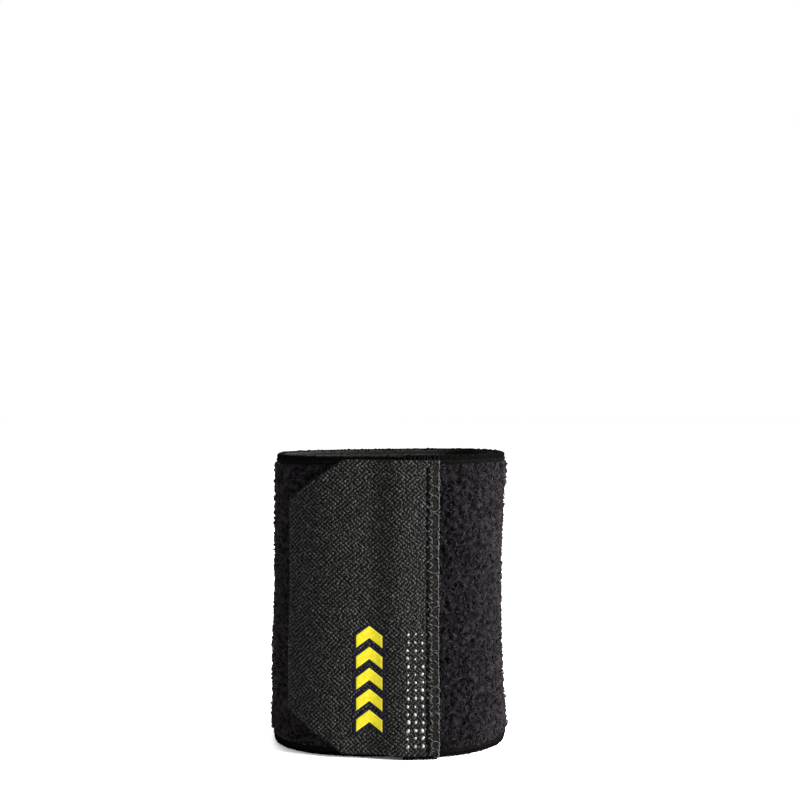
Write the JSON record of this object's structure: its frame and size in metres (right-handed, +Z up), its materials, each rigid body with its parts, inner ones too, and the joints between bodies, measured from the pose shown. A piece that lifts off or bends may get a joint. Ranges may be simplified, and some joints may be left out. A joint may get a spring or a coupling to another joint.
{
  "type": "wrist support wrap",
  "caption": "Wrap-round elastic wrist support with a looped outer face, an overlapping end and a peel-open hook tape tab that closes on the front.",
  "frame": {"origin": "under the middle of the whole object, on the surface that its lower edge stands on", "axes": "+Z up along the forearm towards the fingers, front (back of the hand) towards -Y, +X towards the lapped side"},
  "size_m": [0.0655, 0.0502, 0.0804],
  "materials": {
    "lining_knit": "smooth dark knit, matt",
    "rubber_strand": "natural latex strand, dusted",
    "woven_web": "ribbed black woven elastic, matt",
    "loop_pile": "brushed nylon loop pile, purplish black, fuzzy",
    "tape_weave": "fine herringbone tape back, charcoal, slight sheen",
    "hook_nylon": "moulded nylon hooks, semi-gloss black",
    "sewing_thread": "black polyester thread",
    "clear_nylon": "bare monofilament, glossy",
    "emblem_ground": "dark navy film, satin",
    "emblem_yellow": "bright yellow film, satin"
  },
  "bodies": {
    "back_panel": {"back_lining": "lining_knit", "back_elastic_strands": "rubber_strand", "back_web": "woven_web", "back_loop_pile": "loop_pile", "back_top_selvedge": "woven_web", "back_bottom_selvedge": "woven_web"},
    "front_panel": {"front_lining": "lining_knit", "front_elastic_strands": "rubber_strand", "front_web": "woven_web", "front_loop_pile": "loop_pile", "front_top_selvedge": "woven_web", "front_bottom_selvedge": "woven_web", "start_edge_overlock": "sewing_thread"},
    "outer_lap": {"lap_lining": "lining_knit", "lap_elastic_strands": "rubber_strand", "lap_web": "woven_web", "lap_loop_pile": "loop_pile", "lap_top_selvedge": "woven_web", "lap_bottom_selvedge": "woven_web", "tape_sewn_end": "tape_weave", "seam_lockstitch": "sewing_thread", "seam_zigzag": "sewing_thread", "sheen_loops": "clear_nylon"},
    "closure_tab": {"hook_tape": "tape_weave", "hook_rows": "hook_nylon", "emblem_backing": "emblem_ground", "emblem_chevrons": "emblem_yellow"}
  },
  "joints": [
    {"name": "lap_unwrap", "type": "hinge", "parent": "back_panel", "child": "outer_lap", "pos_m": [0.0226, 0.02239, 0], "axis": [0, 0, 1], "range_deg": [0, 140]},
    {"name": "tab_peel", "type": "hinge", "parent": "outer_lap", "child": "closure_tab", "pos_m": [0.00455, -0.02492, 0], "axis": [0, 0, 1], "range_deg": [0, 150]},
    {"name": "front_panel_spread", "type": "hinge", "parent": "back_panel", "child": "front_panel", "pos_m": [-0.03275, 0.00062, 0], "axis": [0, 0, 1], "range_deg": [-45, 0]}
  ],
  "couplings": [
    {"joint": "front_panel_spread", "follows": "lap_unwrap", "ratio": -0.3}
  ]
}
